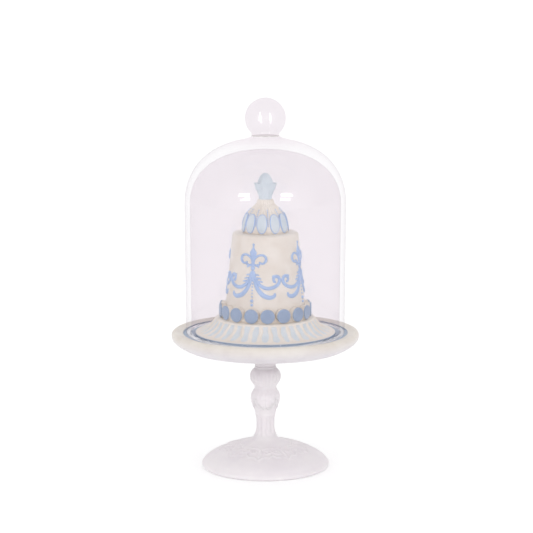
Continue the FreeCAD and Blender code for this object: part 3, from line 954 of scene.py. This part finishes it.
def medallions(wall):
    """Oval medallions: a pale hollowed field in a piped border."""
    middle = wall.distance(BELL_LOW + 8.7 * MM)
    borders = ([], [])
    for node in MEDALLIONS:
        azimuth = azimuth_of(node)
        rings = []
        for share, proud in ((1.0, -0.4), (0.97, 0.5), (0.8, 0.55), (0.5, 0.4), (0.22, 0.35)):
            oval = ellipse(azimuth, middle, 3.9 * MM * share, 7.6 * MM * share, wall)
            rings.append([wall.point(a, s, proud * MM) for a, s in oval])
        piece = make_object(node.replace("medallion", "oval"), *strip(rings), PALE_BLUE, "stand")
        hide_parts(node)
        path = ellipse(azimuth, middle, 3.95 * MM, 7.7 * MM, wall)
        add_mesh(borders, relief(wall, path, [1.0 * MM], 0.95 * MM, closed=True, across=8))
    piece = make_object("piped_borders", *borders, PERIWINKLE, "stand")


DOTS_IN_A_LINE = 9
DOT_R = 0.58 * MM
DOT_STEP = 1.5 * MM


def dots(wall):
    """Dotted line midway between each medallion and the next."""
    total = ([], [])
    for node in MEDALLIONS:
        azimuth = azimuth_of(node) + 180.0 / len(MEDALLIONS)
        for k in range(DOTS_IN_A_LINE):
            z = BELL_LOW + 7.0 * MM + k * DOT_STEP
            add_mesh(total, bead(wall, azimuth, wall.distance(z), DOT_R, 1.5 * DOT_R, 8, 3,
                                 0.05 * MM))
    piece = make_object("dotted_lines", *total, PERIWINKLE, "stand")
    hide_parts("piped_dots")


CRIMPS = 20


def ruff():
    """Crimped collar under the finial."""
    low = RUFF_LOW
    points = smooth([(RUFF_R, low), (RUFF_R, low + 0.8 * MM), (RUFF_R - 0.5 * MM, low + 2 * MM),
                     (RUFF_R - 0.9 * MM, low + 3.2 * MM), (5.8 * MM, RUFF_TOP)], 4)

    def crimp(azimuth, index, r, z):
        return r - 0.45 * MM * (1 - lobe(azimuth, CRIMPS)), z

    piece = make_object("crimped_ruff", *spin([(0, low)] + points + [(0, RUFF_TOP)], 160, crimp),
                        CREAM, "stand")
    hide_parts("finial_collar")


BUD_EDGE = -25.0
CREASES = 12


def finial():
    """Four-sided bud standing in a cup that opens into two pointed lips."""
    low = FINIAL_LOW / MM
    top = FINIAL_TOP / MM
    reach = FINIAL_R / MM
    brim = low + 13.2
    cup = [(5.2, low), (5.0, low + 2.0), (4.9, low + 4.5), (5.0, low + 7.5), (5.0, low + 10.0),
           (5.0, low + 12.0), (4.9, brim - 0.1), (4.4, brim - 0.5), (3.5, brim - 1.0)]
    spread = [(low, 0.1), (low + 2.0, 0.4), (low + 5.5, 1.6), (low + 9.0, 3.3),
              (low + 12.0, reach - 5.5), (brim, reach - 5.0)]

    def lips(azimuth, index, r, z):
        side = abs(math.sin(math.radians(azimuth)))
        crease = 0.25 * (1 - lobe(azimuth, CREASES, phase=15))
        crease *= blend(z / MM, [(low, 1.0), (brim, 0.2)])
        push = blend(z / MM, spread) * side ** 5
        lift = 0.5 * side ** 6 * blend(z / MM, [(brim - 1.5, 0.0), (brim, 1.0)])
        drop = (0.5 - lift) * MM if z > (brim - 1.5) * MM else 0.0
        return r + (push - crease) * MM, z - drop

    total = spin([(0, FINIAL_LOW)] + smooth(metres(cup), 5) + [(0, (brim - 1.2) * MM)], 144, lips)
    bud = [(4.6, low + 1.0), (5.2, low + 5.0), (6.0, low + 9.5), (6.7, low + 12.0),
           (6.8, low + 13.8), (6.0, low + 16.0), (4.6, low + 18.4), (2.7, low + 20.3),
           (0.8, top - 0.15)]

    def facets(azimuth, index, r, z):
        turn = (azimuth - BUD_EDGE) % 90.0 - 45.0
        flat = math.cos(math.radians(45.0)) / math.cos(math.radians(turn))
        return r * (0.2 + 0.8 * flat), z

    side = smooth(metres(bud), 5)
    add_mesh(total, spin([(0, FINIAL_LOW + 1.0 * MM)] + side + [(0, FINIAL_TOP)], 144, facets))
    piece = make_object("tulip_finial", *total, PALE_BLUE, "stand", 24)
    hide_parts("finial")


# -------- dome

CROWN_POWER = 2.3
CROWN_HEIGHT = 55.0 * MM
INNER_HEIGHT = 45.5 * MM
FLARE_R = 22 * MM
NECK_R = 11.6 * MM


def crown(radius, shoulder, height, steps=40):
    """Superellipse quarter from the shoulder to the crown."""
    points = []
    for i in range(steps + 1):
        turn = 0.5 * math.pi * i / steps
        across = radius * max(math.cos(turn), 0.0) ** (2 / CROWN_POWER)
        points.append((across, shoulder + height * math.sin(turn) ** (2 / CROWN_POWER)))
    return points


def dome():
    """Thick clear bell with a rounded foot, open underneath."""
    wall = 4.2 * MM
    foot_r = 64.6 * MM
    shoulder = DOME_TOP - 56.5 * MM
    outer = crown(DOME_R, shoulder, CROWN_HEIGHT)
    inner = crown(DOME_R - wall, shoulder, INNER_HEIGHT)
    below_neck = [point for point in outer if point[0] > FLARE_R]
    neck_flare = smooth(below_neck[-2:]
                        + [(16.5 * MM, DOME_TOP - 2.1 * MM), (13.2 * MM, DOME_TOP - 1.0 * MM),
                           (NECK_R, DOME_TOP)], 5)
    outside = below_neck[:-1] + neck_flare[5:]
    lip = []
    arc = 12
    for k in range(arc + 1):
        turn = math.pi * k / arc
        lip.append((foot_r - 0.5 * wall - 0.5 * wall * math.cos(turn),
                    DOME_LOW + 0.5 * wall * (1 - math.sin(turn))))
    steps = 12
    inner_side, outer_side = [[(r + (top_r - r) * k / steps, z + (shoulder - z) * k / steps)
                               for k in range(1, steps)]
                              for (r, z), top_r in ((lip[0], inner[0][0]), (lip[-1], DOME_R))]
    profile = [(0, inner[-1][1])] + inner[-2::-1] + inner_side[::-1] + lip + outer_side
    profile += outside + [(0, DOME_TOP)]
    piece = make_object("glass_dome", *spin(profile, 256), GLASS, "dome")

    def depth(azimuth, r, z):
        """1 on the inner face; on the outer face 1.5 round the knob, fading to 0 outwards."""
        rise = max(0.0, (z - shoulder) / CROWN_HEIGHT)
        inside = (r / DOME_R) ** CROWN_POWER + rise ** CROWN_POWER < 0.93
        return 1.0 if inside else clamp((42 * MM - r) / (13 * MM), 1.5)

    set_paint(piece, depth)
    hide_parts("dome_glass")
    return piece


def knob():
    """Ball knob on a short waisted neck, and the thin line where it joins the dome."""
    centre = KNOB_TOP - KNOB_R
    join = math.asin(NECK_R / KNOB_R)
    points = [(NECK_R - 0.3 * MM, KNOB_LOW + 0.35 * MM), (NECK_R - 0.6 * MM, KNOB_LOW + 1.5 * MM)]
    arc = 36
    for k in range(arc):
        turn = join + (math.pi - join) * k / arc
        points.append((KNOB_R * math.sin(turn), centre - KNOB_R * math.cos(turn)))
    profile = [(0, KNOB_LOW + 0.35 * MM)] + points + [(0, KNOB_TOP)]
    ball = make_object("ball_knob", *spin(profile, 128), KNOB_GLASS, "dome")
    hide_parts("dome_knob")
    low = KNOB_LOW + 0.01 * MM
    high = KNOB_LOW + 0.33 * MM
    seam = [(0, low), (NECK_R - 0.25 * MM, low), (NECK_R - 0.15 * MM, 0.5 * (low + high)),
            (NECK_R - 0.25 * MM, high), (0, high)]
    ring = make_object("knob_seam", *spin(seam, 96), joint_line_colour(), "dome")
    return ball


# -------- studio

WORLD_FRONT = 1.55
WORLD_SIDE = 0.72
WORLD_BACK = 1.04
WORLD_TOP = 0.95
FLOOR_HALF = 6.0
LENS_TO_FRAME = 2000 / 533
LAMP_DISTANCE = 1.6
LAMP_AIM = Vector((0, 0, 0.17))


def floor():
    """Plain pale floor."""
    nodes = Nodes("pale_floor")
    tone = nodes.mix(nodes.noise(3, 2), linear(250, 250, 250), linear(247, 248, 248))
    nodes.surface(tone, 0.9, Emission_Color=(1, 1, 1, 1), Emission_Strength=0.15)
    mesh = bpy.data.meshes.new("floor")
    corners = [(x * FLOOR_HALF, y * FLOOR_HALF, 0)
               for x, y in ((-1, -1), (1, -1), (1, 1), (-1, 1))]
    mesh.from_pydata(corners, [], [(0, 1, 2, 3)])
    mesh.materials.append(nodes.material)
    sheet = bpy.data.objects.new("floor", mesh)
    bpy.context.scene.collection.objects.link(sheet)


def glint(name, piece, azimuth, elevation, size, power, roll=0.0):
    """Soft lamp that only one glass piece mirrors."""
    light = bpy.data.lights.new(name, "AREA")
    light.shape = "RECTANGLE"
    light.size, light.size_y = size
    light.energy = power
    lamp = bpy.data.objects.new(name, light)
    rise = math.radians(elevation)
    lamp.location = LAMP_AIM + on_axis(LAMP_DISTANCE * math.cos(rise), azimuth,
                                       LAMP_DISTANCE * math.sin(rise))
    facing = (LAMP_AIM - lamp.location).to_track_quat("-Z", "Y")
    lamp.rotation_euler = (facing @ Quaternion((0, 0, 1), math.radians(roll))).to_euler()
    bpy.context.scene.collection.objects.link(lamp)
    only = bpy.data.collections.new(name + "_on")
    only.objects.link(piece)
    lamp.light_linking.receiver_collection = only


def studio():
    """White sweep all round, dimmer at the sides."""
    world = bpy.data.worlds.new("studio")
    world.use_nodes = True
    tree = world.node_tree
    background = tree.nodes["Background"]
    where = tree.nodes.new("ShaderNodeTexCoord")
    split = tree.nodes.new("ShaderNodeSeparateXYZ")
    ramp = tree.nodes.new("ShaderNodeMapRange")
    ramp.inputs["From Min"].default_value = -1.0
    tones = tree.nodes.new("ShaderNodeFloatCurve")
    curve = tones.mapping.curves[0]
    tones.mapping.use_clip = False
    tones.mapping.clip_max_y = 2.0
    curve.points[0].location = (0.0, WORLD_FRONT)
    curve.points[1].location = (1.0, WORLD_BACK)
    for place, value in ((0.35, 0.95), (0.5, WORLD_SIDE), (0.75, 0.82), (0.95, WORLD_BACK)):
        curve.points.new(place, value)
    tones.mapping.update()
    tree.links.new(where.outputs["Generated"], split.inputs[0])
    tree.links.new(split.outputs["Y"], ramp.inputs["Value"])
    tree.links.new(ramp.outputs["Result"], tones.inputs["Value"])
    overhead = tree.nodes.new("ShaderNodeMapRange")
    overhead.inputs["From Min"].default_value = 0.3
    tree.links.new(split.outputs["Z"], overhead.inputs["Value"])
    total = tree.nodes.new("ShaderNodeMix")
    total.inputs["B"].default_value = WORLD_TOP
    tree.links.new(overhead.outputs["Result"], total.inputs["Factor"])
    tree.links.new(tones.outputs[0], total.inputs["A"])
    tree.links.new(total.outputs[0], background.inputs["Strength"])
    background.inputs["Color"].default_value = (1, 1, 1, 1)
    bpy.context.scene.world = world
    bpy.context.scene.view_settings.view_transform = "Standard"


def camera():
    """Long lens that looks down by 9 degrees at a point above the object's middle."""
    scene = bpy.context.scene
    pitch = math.radians(9.1)
    distance = 1.626
    target = 0.1662
    sensor = 36.0
    lens = bpy.data.cameras.new("camera")
    lens.sensor_width = sensor
    lens.lens = sensor * LENS_TO_FRAME
    eye = bpy.data.objects.new("camera", lens)
    eye.location = (0.9 * MM, -distance * math.cos(pitch), target + distance * math.sin(pitch))
    eye.rotation_euler = (math.radians(90) - pitch, 0, 0)
    scene.collection.objects.link(eye)
    scene.camera = eye


camera()
studio()
floor()
foot()
stem()
collar()
plate()
skirt()
disc_row()
tier()
TIER_WALL = Wall(tier_profile())
for motif_number in (1, 2, 3, 4):
    motif(motif_number, TIER_WALL)
bell()
BELL_WALL = Wall(bell_profile())
medallions(BELL_WALL)
dots(BELL_WALL)
ruff()
finial()
GLASS_DOME = dome()
BALL = knob()
glint("left_softbox", GLASS_DOME, -31, 21.5, (0.42, 0.19), 2.2, 8)
glint("right_softbox", GLASS_DOME, 31, 22, (0.45, 0.19), 2.2, -6)
glint("left_strip", BALL, -34, 13, (0.28, 1.5), 9.0)
glint("right_strip", BALL, 27, 13, (0.28, 1.5), 9.0)
